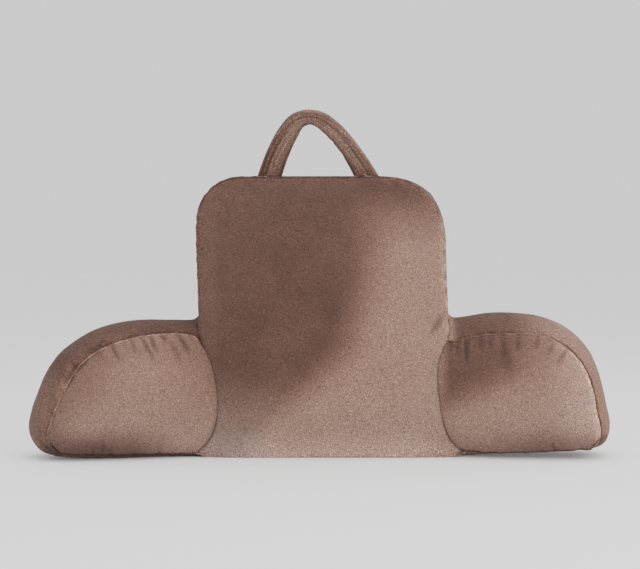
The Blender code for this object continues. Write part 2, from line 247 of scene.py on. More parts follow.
BRUSHING = 9.0  # broad unevenness of the lay, clumps of pile and single tufts, to a metre, and their shares
PILE_CLUMPS = 150.0
PILE_GRAIN = 600.0
BRUSHING_SHARE = 0.40
CLUMP_SHARE = 0.25
GRAIN_SHARES = (2.10, 3.20)  # in the dark and in the light lay
MOTTLING = 170.0  # patches of ruffled pile, to a metre
MOTTLE_SHARE = 1.90
RUFFLED_GRAIN = 2.4  # how much more a ruffled pile's tufts differ
GREY_SHARE = 0.25  # how much of its colour fully greyed pile loses
FOLD_SHADE = 0.5  # colour of wholly dark painted shade, as a share of the dark lay's colour
RUB_AND_LIGHT_SHARES = (3.60, -1.26)  # of the patches of rubbing and painted light, and added to them
CLUMP_RELIEF = 0.8  # height of the clumps of pile beside that of the tufts
PLUSH_DARK = (0.097, 0.052, 0.040, 1)
PLUSH_LIGHT = (0.268, 0.157, 0.120, 1)
PLUSH_FINISH = {
    "Roughness": 0.95,
    "Specular IOR Level": 0.1,
    "Sheen Weight": 0.12,
    "Sheen Roughness": 0.5,
    "Sheen Tint": (0.95, 0.8, 0.74, 1),
}


def bunched(count):
    """Fractions from 0 to 1: an even share plus a cosine share, so that lines close up at both ends."""
    even = np.linspace(0, 1, count + 1)
    return (1 - BUNCHING) * even + BUNCHING * (1 - np.cos(np.pi * even)) / 2


def curve_through(rows, places, measured):
    """A cubic between each two rows, sloped at a row as the parabola through it and its neighbours, read at
    fractions of the length of the first columns.
    """
    rows = np.array(rows, float)
    steps = np.linalg.norm(np.diff(rows[:, :measured], axis=0), axis=1)
    along = np.append(0, np.cumsum(steps))
    slopes = np.gradient(rows, along, axis=0)
    at = places * along[-1]
    i = np.clip(np.searchsorted(along, at, side="right") - 1, 0, len(steps) - 1)
    step = steps[i][:, None]
    t = ((at - along[i]) / steps[i])[:, None]
    return (
        (2 * t**3 - 3 * t**2 + 1) * rows[i]
        + (t**3 - 2 * t**2 + t) * step * slopes[i]
        + (3 * t**2 - 2 * t**3) * rows[i + 1]
        + (t**3 - t**2) * step * slopes[i + 1]
    )


def seam_patch(inner, outer, bottom, top, across, up):
    """A grid between four seams: side-to-side blend plus end-to-end blend less the corners' blend."""
    inner, outer = (curve_through(rows, up, measured=2) for rows in (inner, outer))
    bottom, top = (curve_through(rows, across, measured=2) for rows in (bottom, top))
    s = across[:, None, None]
    t = up[None, :, None]
    sideways = (1 - s) * inner[None] + s * outer[None]
    endways = (1 - t) * bottom[:, None] + t * top[:, None]
    low = (1 - s) * bottom[0] + s * bottom[-1]
    high = (1 - s) * top[0] + s * top[-1]
    return sideways + endways - (1 - t) * low - t * high


def swell(across, up, power):
    """(4 s (1 - s)) ** power times the same of t: 1 in the middle of a panel and 0 at its seams."""
    return (4 * across * (1 - across))[:, None] ** power * (4 * up * (1 - up)) ** power


def settled(height):
    """Height with what hangs below the floor laid flat on it: a parabola joins the two."""
    turning = (height + SETTLING) ** 2 / (4 * SETTLING)
    return np.where(height < -SETTLING, 0, np.where(height > SETTLING, height, turning))


def smooth_step(value):
    """0 below 0, 1 above 1, and 3 v v - 2 v v v between."""
    value = np.clip(value, 0, 1)
    return value * value * (3 - 2 * value)


def past(value, start, width):
    """0 up to the start and 1 from a width past it: a width below 0 goes the other way."""
    return smooth_step((value - start) / width)


def rim(columns, rows):
    """Grid places of a patch's edge, in order round it from the lower inner corner."""
    across = (np.arange(columns), np.full(rows, columns), np.arange(columns, 0, -1), np.zeros(rows))
    up = (np.zeros(columns), np.arange(rows), np.full(columns, rows), np.arange(rows, 0, -1))
    return np.concatenate(across).astype(int), np.concatenate(up).astype(int)


def grid_faces(places):
    """Four-sided faces of a grid of vertex numbers."""
    corners = (places[:-1, :-1], places[1:, :-1], places[1:, 1:], places[:-1, 1:])
    return np.stack([corner.ravel() for corner in corners], axis=1)


def from_edges(points):
    """Distance of each grid point from the nearest of its own row's and column's two ends."""
    ends = (points[:1], points[-1:], points[:, :1], points[:, -1:])
    return np.min([np.linalg.norm(points - end, axis=-1) for end in ends], axis=0)


def creased(panel, folds):
    """Depth of a panel's folds: for each, its depth times (1 - 0.6 b b) exp(-0.5 b b) of the half widths b
    beside the line from its head to its foot, times 4 s (1 - s) of the share s along it.
    """
    total = np.zeros(panel.shape[:-1])
    for head_x, head_z, foot_x, foot_z, depth, half_width in folds:
        line = np.array((foot_x - head_x, foot_z - head_z))
        off = panel[..., :2] - (head_x, head_z)
        share = np.clip(off @ line / (line @ line), 0, 1)
        beside = (off[..., 0] * line[1] - off[..., 1] * line[0]) / np.linalg.norm(line) / half_width
        total += depth * (1 - 0.6 * beside**2) * np.exp(-0.5 * beside**2) * 4 * share * (1 - share)
    return total


def fold_shade(depth):
    """Painted shade of folds of this depth."""
    return np.clip(depth.ravel() / FOLD_DARK_DEPTH, 0, FOLD_DARK_MOST)


def mottled(off_seam, patch):
    """How ruffled the pile is: exp(-(d / width) ** 2) more at the distance d from a panel's seam."""
    panel = PANEL_MOTTLE + EDGE_MOTTLE * np.exp(-((off_seam / EDGE_MOTTLE_WIDTH) ** 2))
    return np.where(patch == 2, STRIP_MOTTLE, panel)


def stuffed_form(front, back, crown_front, crown_back, width, place, strip_rows):
    """Points, faces, distances from the seam (negative on the strip) and patch numbers of a closed stuffed
    form: two crowned panels, and a strip that runs straight from seam to seam plus its bulge times
    (4 b (1 - b)) ** power along the outward direction of the seam.
    """
    columns, rows = front.shape[0] - 1, front.shape[1] - 1
    i, j = rim(columns, rows)
    edge = front[i, j]
    along = np.roll(edge[:, :2], -1, axis=0) - np.roll(edge[:, :2], 1, axis=0)
    outward = np.stack((along[:, 1], -along[:, 0]), axis=1)
    outward /= np.linalg.norm(outward, axis=1, keepdims=True)

    behind = bunched(strip_rows)[1:-1, None]
    bulge = edge[:, 2] * (4 * behind * (1 - behind)) ** STRIP_POWER
    strip = (1 - behind)[..., None] * edge[:, :2] + behind[..., None] * back[i, j][:, :2]
    strip += bulge[..., None] * outward

    front_points = place(front[..., 0], front[..., 1], -crown_front)
    back_points = place(back[..., 0], back[..., 1], width + crown_back)
    strip_points = place(strip[..., 0], strip[..., 1], behind * width[i, j])
    seams = np.stack((front_points[i, j], back_points[i, j]))
    off_strip = np.linalg.norm(strip_points[None] - seams[:, None], axis=-1).min(axis=0)

    count = (columns + 1) * (rows + 1)
    front_places = np.arange(count).reshape(columns + 1, rows + 1)
    back_places = front_places + count
    strip_places = 2 * count + np.arange(strip[..., 0].size).reshape(-1, len(i))
    belt = np.vstack((front_places[i, j], strip_places, back_places[i, j]))
    belt = np.hstack((belt, belt[:, :1]))
    points = np.vstack([part.reshape(-1, 3) for part in (front_points, back_points, strip_points)])
    faces = np.vstack((grid_faces(front_places), grid_faces(back_places), grid_faces(belt)))
    off_seam = np.concatenate(
        (from_edges(front_points).ravel(), from_edges(back_points).ravel(), -off_strip.ravel())
    )
    patch = np.repeat((0, 1, 2), (count, count, off_strip.size))
    return points, faces, off_seam, patch


def mesh_piece(name, points, faces, **levels):
    """An object of this mesh, closed and facing outwards, with each level's numbers by point."""
    mesh = bpy.data.meshes.new(name)
    mesh.from_pydata(points.tolist(), [], faces.tolist())
    for level, values in levels.items():
        set_level(mesh, level, values)
    work = bmesh.new()
    work.from_mesh(mesh)
    bmesh.ops.holes_fill(work, edges=work.edges)
    bmesh.ops.recalc_face_normals(work, faces=work.faces)
    work.to_mesh(mesh)
    work.free()
    mesh.shade_smooth()
    piece = bpy.data.objects.new(name, mesh)
    scene.collection.objects.link(piece)
    return piece


def row_array(items, name, width):
    """The numbers that each item has under this name, in rows."""
    values = np.empty(len(items) * width, np.float32)
    items.foreach_get(name, values)
    return values.reshape(-1, width)


def point_array(mesh):
    """The mesh's points as rows of X, Y and Z."""
    return row_array(mesh.vertices, "co", 3)


def normal_array(mesh):
    """The points' normals as rows of X, Y and Z."""
    return row_array(mesh.vertex_normals, "vector", 3)


def level_array(mesh, level):
    """A level's numbers, one for each point."""
    return row_array(mesh.attributes[level].data, "value", 1)[:, 0]


def set_level(mesh, level, values):
    """Keeps a number for each point under the level's name."""
    if level not in mesh.attributes:
        mesh.attributes.new(level, "FLOAT", "POINT")
    mesh.attributes[level].data.foreach_set("value", values.astype(np.float32))


def applied(piece):
    """Gives the piece the mesh that its modifiers make, and removes them."""
    graph = bpy.context.evaluated_depsgraph_get()
    made = bpy.data.meshes.new_from_object(piece.evaluated_get(graph), depsgraph=graph)
    old = piece.data
    piece.modifiers.clear()
    piece.data = made
    bpy.data.meshes.remove(old)
    made.name = piece.name


def subdivided(piece):
    """One level of smooth subdivision."""
    finer = piece.modifiers.new("finer", "SUBSURF")
    finer.levels = 1
    finer.render_levels = 1
    applied(piece)


def set_all(target, settings):
    """Gives the target each of these settings."""
    for setting, value in settings.items():
        setattr(target, setting, value)


def inflated(piece, held, fullness, smaller):
    """Swells the piece by cloth pressure for a few frames, from a slightly smaller form and with its seams
    and base held still. Cloth is cut larger by its fullness, in tenths, so it gathers there. A point then
    keeps most * tanh(movement / most) of its movement.
    """
    distance = np.abs(level_array(piece.data, "off_seam"))
    rest = point_array(piece.data)
    inwards = smaller * smooth_step(distance / CLOTH_FADE) * (rest[:, 2] > ON_FLOOR)
    rest = rest - inwards[:, None] * normal_array(piece.data)
    piece.data.vertices.foreach_set("co", rest.ravel())
    full = piece.vertex_groups.new(name="full")
    tenths = np.round(fullness * 10).astype(int)
    for tenth in range(1, 11):
        full.add(np.flatnonzero(tenths == tenth).tolist(), tenth / 10, "REPLACE")
    pins = piece.vertex_groups.new(name="held")
    pins.add(np.flatnonzero(held).tolist(), 1.0, "REPLACE")
    cloth = piece.modifiers.new("filling", "CLOTH")
    set_all(cloth.settings, CLOTH_SETTINGS)
    cloth.settings.effector_weights.gravity = 0
    cloth.point_cache.frame_start = 1
    cloth.point_cache.frame_end = CLOTH_FRAMES
    for number in range(1, CLOTH_FRAMES + 1):
        scene.frame_set(number)
    applied(piece)
    scene.frame_set(1)
    piece.vertex_groups.clear()
    moved = point_array(piece.data) - rest
    length = np.linalg.norm(moved, axis=1, keepdims=True)
    kept = CLOTH_MOST * np.tanh(length / CLOTH_MOST) / np.maximum(length, 1e-9)
    piece.data.vertices.foreach_set("co", (rest + moved * kept).ravel())
    piece.data.update()


def sew(piece, sewn):
    """Raises the stitched edges into a fine ridge between two grooves: each is exp(-(d / width) ** 2) of the
    distance d from its own line, along the normals, plus a pucker of sine waves that fades likewise, and less
    the depth of the strip's creases. The ridge is rubbed and given a painted highlight, the edges beside it
    get painted light, or painted shade below 0, and the strip's groove gets painted shade, the darker the
    wider. By the floor there is neither rubbing nor painted light, and the groove's painted shade is darkest.
    """
    mesh = piece.data
    off_seam = level_array(mesh, "off_seam")
    crease = level_array(mesh, "crease")
    distance = np.abs(off_seam)
    ridge = np.exp(-((distance / SEAM_RIDGE_WIDTH) ** 2))
    groove = np.exp(-(((distance - SEAM_GROOVE_PLACE) / SEAM_GROOVE_WIDTH) ** 2))
    points = point_array(mesh)
    waves = np.sin(points @ np.array(SEAM_PUCKERS).T).sum(axis=1)
    pucker = SEAM_PUCKER * waves * np.exp(-((distance / SEAM_PUCKER_REACH) ** 2))
    raised = SEAM_RIDGE * ridge - SEAM_GROOVE * groove - crease + pucker
    points += raised[:, None] * normal_array(mesh)
    points[:, 2] = np.maximum(points[:, 2], 0)
    mesh.vertices.foreach_set("co", points.ravel())
    place = sewn["side"] * points[:, 0]
    off_floor = smooth_step(points[:, 2] / RUB_AND_LIGHT_HEIGHT - 0.5)
    rub = np.interp(place, *sewn["seam_rub_and_light"]) * np.exp(-((distance / SEAM_RUB_AND_LIGHT_WIDTH) ** 2))
    edge = np.interp(place, *sewn["edge_painted_light"]) * np.exp(-((distance / EDGE_LIGHT_WIDTH) ** 2))
    strip = np.interp(place, *sewn["strip_painted_light"]) * np.exp(-((distance / STRIP_LIGHT_WIDTH) ** 2))
    rub += np.where(off_seam > 0, edge, strip)
    set_level(mesh, "rub", rub * off_floor)
    dark = 1 - (1 - np.interp(place, *sewn["seam_dark"])) * off_floor
    wider = SEAM_GROOVE_WIDTH * (1 + SEAM_DARK_WIDER * dark)
    shade = np.exp(-(((distance - SEAM_GROOVE_PLACE) / wider) ** 2))
    set_level(mesh, "fold", np.maximum(level_array(mesh, "fold"), dark * shade * (off_seam < 0)))
    mesh.update()


def crease_against(piece, neighbour):
    """Paints shade on the piece close to its neighbour, by two sizes of exp(-(d / reach) ** 2) of the
    distance d between them, and more by the floor.
    """
    tree = bpy.data.node_groups.new("distance to a neighbour", "GeometryNodeTree")
    tree.interface.new_socket("Piece", in_out="INPUT", socket_type="NodeSocketGeometry")
    tree.interface.new_socket("Piece", in_out="OUTPUT", socket_type="NodeSocketGeometry")
    given = add_node(tree, "NodeGroupInput", {}).outputs[0]
    other = add_node(tree, "GeometryNodeObjectInfo", {"Object": neighbour}).outputs["Geometry"]
    gap = add_node(tree, "GeometryNodeProximity", {0: other}, target_element="FACES").outputs["Distance"]
    kept = {"Geometry": given, "Name": "gap", "Value": gap}
    stored = add_node(tree, "GeometryNodeStoreNamedAttribute", kept, data_type="FLOAT", domain="POINT")
    add_node(tree, "NodeGroupOutput", {0: stored.outputs[0]})
    piece.modifiers.new("gap", "NODES").node_group = tree
    applied(piece)
    mesh = piece.data
    gap = level_array(mesh, "gap")
    dark = CREASE_DARK * np.exp(-((gap / CREASE_REACH) ** 2))
    dark += CREASE_SHADE * np.exp(-((gap / CREASE_SHADE_REACH) ** 2))
    dark *= 1 - CREASE_FADE * smooth_step(point_array(mesh)[:, 2] / CREASE_HEIGHT - 1)
    set_level(mesh, "fold", np.maximum(level_array(mesh, "fold"), dark))


def turned_nap(points, turn):
    """0 left of the turn and 1 right of it, the turn's X and its width read from the rows by height."""
    heights, places, widths = np.array(turn).T
    place = np.interp(points[:, 2], heights, places)
    return smooth_step((points[:, 0] - place) / np.interp(points[:, 2], heights, widths) + 0.5)


def add_node(tree, kind, inputs, **settings):
    """A node with its settings, and its inputs either linked to another node's output or set."""
    made = tree.nodes.new(kind)
    set_all(made, settings)
    for socket, value in inputs.items():
        if isinstance(value, bpy.types.NodeSocket):
            tree.links.new(value, made.inputs[socket])
        else:
            made.inputs[socket].default_value = value
    return made


def plush(name, dark, light):
    """Short pile. Its colour runs from the dark to the light lay with the nap level, which also carries some
    painted light and shade, and a broad unevenness, times exp(tufts, clumps and ruffled patches). Grey pile
    loses colour, rubbing and painted light make it lighter in patches, or darker below 0 as painted shade,
    and painted shade in folds, grooves and creases makes it darker.
    """
    material = bpy.data.materials.new(name)
    material.use_nodes = True
    tree = material.node_tree
    shader = tree.nodes["Principled BSDF"]
    where = tree.nodes.new("ShaderNodeTexCoord").outputs["Object"]

    def noise(scale, detail):
        inputs = {"Vector": where, "Scale": scale, "Detail": detail, "Roughness": 0.6}
        return add_node(tree, "ShaderNodeTexNoise", inputs).outputs["Fac"]

    def level(attribute):
        return add_node(tree, "ShaderNodeAttribute", {}, attribute_name=attribute).outputs["Fac"]

    def sum_of(value, factor, addend):
        inputs = {0: value, 1: factor, 2: addend}
        return add_node(tree, "ShaderNodeMath", inputs, operation="MULTIPLY_ADD").outputs[0]

    def mix(share, first, second, blend="MIX"):
        inputs = {"Factor": share, 6: first, 7: second}
        settings = dict(data_type="RGBA", blend_type=blend, clamp_factor=False)
        return add_node(tree, "ShaderNodeMix", inputs, **settings).outputs[2]

    clumps = noise(PILE_CLUMPS, 2.0)
    grain = noise(PILE_GRAIN, 2.0)
    lay = sum_of(noise(BRUSHING, 2.0), BRUSHING_SHARE, sum_of(level("nap"), 1.0, -BRUSHING_SHARE / 2))
    contrast = sum_of(lay, GRAIN_SHARES[1] - GRAIN_SHARES[0], GRAIN_SHARES[0])
    contrast = sum_of(level("mottle"), RUFFLED_GRAIN, contrast)
    mottle = sum_of(level("mottle"), sum_of(noise(MOTTLING, 3.0), MOTTLE_SHARE, -MOTTLE_SHARE / 2), 0.0)
    uneven = sum_of(sum_of(grain, 1.0, -0.5), contrast, sum_of(clumps, CLUMP_SHARE, -CLUMP_SHARE / 2))
    uneven = sum_of(uneven, 1.0, mottle)
    tufts = add_node(tree, "ShaderNodeMath", {0: uneven}, operation="EXPONENT").outputs[0]
    pile = mix(1.0, mix(lay, dark, light), tufts, "MULTIPLY")
    colour_left = {"Saturation": sum_of(level("grey"), -GREY_SHARE, 1.0), "Color": pile}
    pile = add_node(tree, "ShaderNodeHueSaturation", colour_left).outputs["Color"]
    patches = sum_of(noise(SEAM_PATCHES, 1.0), *RUB_AND_LIGHT_SHARES)
    pile = mix(1.0, pile, sum_of(level("rub"), patches, 1.0), "MULTIPLY")
    deep = tuple(FOLD_SHADE * part for part in dark[:3]) + (1,)
    pile = mix(level("fold"), pile, deep)
    tree.links.new(pile, shader.inputs["Base Color"])
    relief = {"Height": sum_of(clumps, CLUMP_RELIEF, grain), "Strength": 0.8, "Distance": 0.004}
    tree.links.new(add_node(tree, "ShaderNodeBump", relief).outputs["Normal"], shader.inputs["Normal"])
    for socket, value in PLUSH_FINISH.items():
        shader.inputs[socket].default_value = value
    return material


def backrest_seam(across, up):
    """The front seam as a patch of X, height and bulge, with two rounded top corners."""
    sides = np.array(BACKREST_SIDES)
    half_turn = np.linspace(0, np.pi / 4, ARC_POINTS)

    def side(x, bulge, outward, corner, corner_bulge):
        """One side up to the middle of its corner's arc, and the arc's other half, from the top down."""
        reach, drop = corner
        centre_x = x[-1] - outward * reach
        centre_z = BACKREST_TOP_SEAM - drop
        straight = np.stack((x, sides[:, 0], bulge), axis=1)
        lower = (
            centre_x + outward * reach * np.cos(half_turn),
            centre_z + drop * np.sin(half_turn),
            np.linspace(bulge[-1], corner_bulge, ARC_POINTS),
        )
        upper = (
            centre_x + outward * reach * np.sin(half_turn),
            centre_z + drop * np.cos(half_turn),
            np.linspace(TOP_BULGE, corner_bulge, ARC_POINTS),
        )
        return np.vstack((straight, np.stack(lower, axis=1))), np.stack(upper, axis=1)

    left, left_arc = side(sides[:, 1], sides[:, 2], -1, BACKREST_CORNERS[0], CORNER_BULGES[0])
    right, right_arc = side(sides[:, 3], sides[:, 4], 1, BACKREST_CORNERS[1], CORNER_BULGES[1])
    lead = np.array((BACKREST_CORNERS[0][0] / 2, 0, 0))
    top = np.vstack((left_arc[::-1], left_arc[0] + lead, right_arc[0] - lead, right_arc))
    bottom = np.vstack((left[:1], BACKREST_UNDERSIDE, right[:1]))
    return seam_patch(left, right, bottom, top, across, up)


def backrest_form():
    """Crowned panels with extra fullness low on the front, on seams that lean back with height, and the depth
    of the front panel's folds.
    """
    across, up = (bunched(count) for count in BACKREST_GRID[:2])
    front = backrest_seam(across, up)
    share = np.clip(front[..., 1] / BACKREST_TOP_SEAM, 0, 1)
    width = BACKREST_BOXING[0] * (1 - share) + BACKREST_BOXING[1] * share
    lumbar = BACKREST_LUMBAR * np.sin(np.pi * np.clip(share / LUMBAR_SPAN, 0, 1)) ** 2

    low = (1 - up) ** BACK_TUCK_POWERS[0]
    beside = np.abs(2 * across - 1)[:, None] ** BACK_TUCK_POWERS[1]
    back = front.copy()
    back[..., 0] *= 1 - BACK_TUCK_IN * low
    back[..., 1] += (BACK_TUCK_UP + BACK_TUCK_ENDS * beside) * low

    def place(x, height, depth):
        lean = BACKREST_LEAN * np.clip(height / BACKREST_TOP_SEAM, 0, 1)
        return np.stack((x, BACKREST_FRONT + lean + depth, settled(height)), axis=-1)

    crown_front = (BACKREST_CROWN_FRONT + lumbar) * swell(across, up, FRONT_POWER)
    folded = creased(front, BACKREST_FOLDS)
    crown_front -= np.minimum(folded, FOLD_MOST * crown_front)
    crown_back = BACKREST_CROWN_BACK * swell(across, up, BACK_POWER)
    return *stuffed_form(front, back, crown_front, crown_back, width, place, BACKREST_GRID[2]), folded


def backrest_nap(points):
    """The pile's level on the front: it turns from dark to light towards the right, and is light low down.
    The right and left edges and the foot have more of it; the lower right corner has less, as painted shade
    by the right arm.
    """
    x, height = points[:, 0], points[:, 2]
    turned = turned_nap(points, BACKREST_NAP)
    level = NAP_MOST * turned * smooth_step((NAP_TOP - height) / NAP_TOP_WIDTH + 0.5)
    level *= 1 + NAP_RIGHT * past(x, *NAP_RIGHT_SPAN) * past(height, *NAP_RIGHT_LOW_SPAN)
    level = np.maximum(level, NAP_LOW_LEVEL * smooth_step((NAP_LOW - height) / NAP_LOW_WIDTH + 0.5))
    foot = past(height, *NAP_FOOT_SPAN)
    level += NAP_FOOT * turned * foot
    level += NAP_LEFT * past(x, *NAP_LEFT_SPAN)
    return level - CORNER_SHADE * past(x, *NAP_CORNER_SPAN) * smooth_step(NAP_CORNER_FASTER * foot)


points, faces, off_seam, patch, folded = backrest_form()
grey = past(points[:, 2], *GREY_SPAN)
grey *= 1 - (1 - GREY_RIGHT) * past(points[:, 0], *GREY_RIGHT_SPAN)
# Painted shade in the front panel's folds
fold = np.zeros(len(points))
fold[: folded.size] = fold_shade(folded)
backrest = mesh_piece(
    "backrest_cushion",
    points,
    faces,
    off_seam=off_seam,
    nap=np.where(patch == 0, backrest_nap(points), NAP_BEHIND),
    fold=fold,
    crease=np.zeros(len(points)),
    grey=np.where(patch == 0, grey, STRIP_GREY),
    mottle=mottled(off_seam, patch),
)
held = (np.abs(off_seam) < ON_SEAM) | (points[:, 2] < ON_FLOOR)
inflated(backrest, held, np.full(len(points), BACKREST_FULLNESS), BACKREST_SMALLER)
subdivided(backrest)
sew(backrest, BACKREST_SEWN)
backrest.data.materials.append(plush("backrest plush", PLUSH_DARK, PLUSH_LIGHT))
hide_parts("backrest")
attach(backrest, "root")

# ---- Arms --------------------------------
# Two stuffed bolsters in the same plush, each a D-shaped inner panel, an outer one and a boxing strip. Their
# inner ends are sewn against the backrest's sides, and the inner panels are gathered along the top seam.

ARM_HINGE = 0.240  # how far from the middle an arm turns forward, and how far each way that arc runs
ARM_BEND = 0.035
ARM_FRONT = -0.065
ARM_BOXING = 0.118
ARM_CROWN_FRONT = 0.038
ARM_CROWN_BACK = 0.026
ARM_BACK_SHORTER = 0.030
FLARE_REACH = 0.018  # its top climbs this near the backrest, more from the first height to the second
FLARE_MOST = 1.3
FLARE_HEIGHTS = (0.215, 0.235)
ARM_GRID = (110, 72, 24)
ARM_GAP = 0.0005  # left between an arm and the backrest
ARM_ROOT = 0.200  # nearer the middle than this its cloth is held still
ARM_SMALLER = 0.001
ARM_FULLNESS = (0.1, 0.8)  # of the inner panel low down and high up
ARM_FULLNESS_SPAN = (0.10, 0.08)
ARM_FULLNESS_BEHIND = 0.2

OUTER_NAP = 0.25  # the pile's level on the outer panel
EDGE_SPAN = (0.390, 0.095)  # where its levels on the inner panel change
TOP_SPAN = (0.205, -0.055)
INNER_SPAN = (0.050, 0.100)
FOOT_SPAN = (0.014, 0.058)
STRIP_LOW_SPAN = (0.185, -0.060)  # and on the boxing
STRIP_INNER_SPAN = (0.252, -0.020)
GREY_ARM = 0.35
STRIP_CREASE_DARK = 1.7  # how much darker the painted shade of a crease in the boxing is than that of a fold in a panel
FLOOR_DARK = 0.90  # painted shade along the lowest seams, its reach and the height where it ends
FLOOR_DARK_REACH = 0.0030
FLOOR_DARK_HEIGHT = 0.026
TUCK_DEPTH = 0.0045  # the boxing's outer lower corner is tucked in, and gets painted shade by its depth
TUCK_SPAN = (0.445, 0.025)
TUCK_FADE = 0.007  # over this height, and this far from the seam
TUCK_REACH = 0.036

# An outline runs up the inner side, out along the top, down the tip and back along the bottom. "out" is the
# distance from the backrest's middle along the arm, "bulge" how far the boxing stands proud there.
LEFT_ARM = dict(
    side=-1,
    turn=np.radians(15),
    rise=0.006,
    flare=0.0125,
    flare_from=0.220,
    outline=(
        # side, out, up, bulge
        ("inner", 0.215, 0.006, 0.020),
        ("inner", 0.188, 0.026, 0.000),
        ("inner", 0.166, 0.055, 0.000),
        ("inner", 0.158, 0.092, 0.000),
        ("inner", 0.163, 0.132, 0.000),
        ("inner", 0.185, 0.172, 0.000),
        ("top", 0.212, 0.200, 0.038),
        ("top", 0.224, 0.2155, 0.029),
        ("top", 0.240, 0.221, 0.023),
        ("top", 0.262, 0.223, 0.021),
        ("top", 0.292, 0.222, 0.023),
        ("top", 0.347, 0.213, 0.028),
        ("top", 0.387, 0.199, 0.031),
        ("top", 0.420, 0.178, 0.033),
        ("top", 0.435, 0.163, 0.036),
        ("tip", 0.445, 0.146, 0.039),
        ("tip", 0.456, 0.126, 0.039),
        ("tip", 0.469, 0.101, 0.036),
        ("tip", 0.479, 0.075, 0.035),
        ("tip", 0.487, 0.049, 0.030),
        ("tip", 0.482, 0.027, 0.021),
        ("bottom", 0.466, 0.013, 0.012),
        ("bottom", 0.380, 0.009, 0.016),
        ("bottom", 0.290, 0.008, 0.016),
    ),
    folds=(
        # from out, up to out, up, depth, half width: gathers under the top seam
        (0.401, 0.203, 0.390, 0.172, 0.0022, 0.0040),
        (0.379, 0.211, 0.363, 0.176, 0.0045, 0.0036),
        (0.357, 0.217, 0.350, 0.193, 0.0025, 0.0034),
        (0.341, 0.223, 0.334, 0.186, 0.0035, 0.0040),
        (0.326, 0.227, 0.303, 0.176, 0.0047, 0.0040),
        (0.308, 0.229, 0.298, 0.187, 0.0047, 0.0044),
        (0.290, 0.229, 0.278, 0.205, 0.0045, 0.0037),
        (0.277, 0.222, 0.252, 0.170, 0.0025, 0.0060),
        (0.262, 0.231, 0.233, 0.184, 0.0045, 0.0050),
        # above the bottom seam, and the tucked outer corner
        (0.409, 0.003, 0.411, 0.034, 0.0025, 0.0036),
        (0.392, 0.003, 0.394, 0.040, 0.0035, 0.0045),
        (0.377, 0.003, 0.380, 0.035, 0.0025, 0.0036),
        (0.289, 0.002, 0.294, 0.027, 0.0022, 0.0040),
        (0.263, 0.000, 0.264, 0.024, 0.0022, 0.0040),
        (0.486, 0.036, 0.459, 0.006, 0.0056, 0.0017),
        (0.487, 0.024, 0.474, 0.008, 0.0050, 0.0015),
    ),
    strip_creases=(
        # from X, height to X, height, depth, half width
        (-0.505, 0.045, -0.480, 0.020, 0.0030, 0.0040),
        (-0.500, 0.070, -0.490, 0.035, 0.0018, 0.0030),
    ),
    tuck=0.029,  # height below which the boxing's outer corner is tucked in
    # height, X and width of the pile's turn, its level on either side, and both on the boxing
    nap=(
        (0.00, -0.460, 0.08),
        (0.06, -0.445, 0.09),
        (0.11, -0.418, 0.12),
        (0.15, -0.392, 0.14),
        (0.19, -0.380, 0.15),
    ),
    nap_levels=(0.30, 0.96),
    edge_nap_and_light=0.0,
    nap_high=0.80,
    inner_nap_and_shade=((0.185, 0.290), (-0.48, 0.0)),  # distances from the middle, levels; below 0, painted shade beside the crease with the backrest
    # levels by distance from the middle, by which the panel is darker low down: painted shade where it turns
    # under
    foot_nap_and_shade=((0.25, 0.33, 0.40), (1.05, 0.20, -0.05)),
    strip_nap=((0.0, -0.60, 0.12),),
    strip_levels=(-0.08, -0.08),
    strip_low=0.22,
    strip_inner=-0.12,
    strip_grey=((0.0,), (-0.05,)),
    seam_rub_and_light=((0.0,), (0.9,)),
    edge_painted_light=((0.375, 0.405, 0.440, 0.460), (0.0, -0.55, -0.55, 0.0)),
    strip_painted_light=((0.31, 0.36, 0.45, 0.47), (0.0, 0.85, 0.85, 0.0)),
    seam_dark=((0.0,), (0.08,)),
)
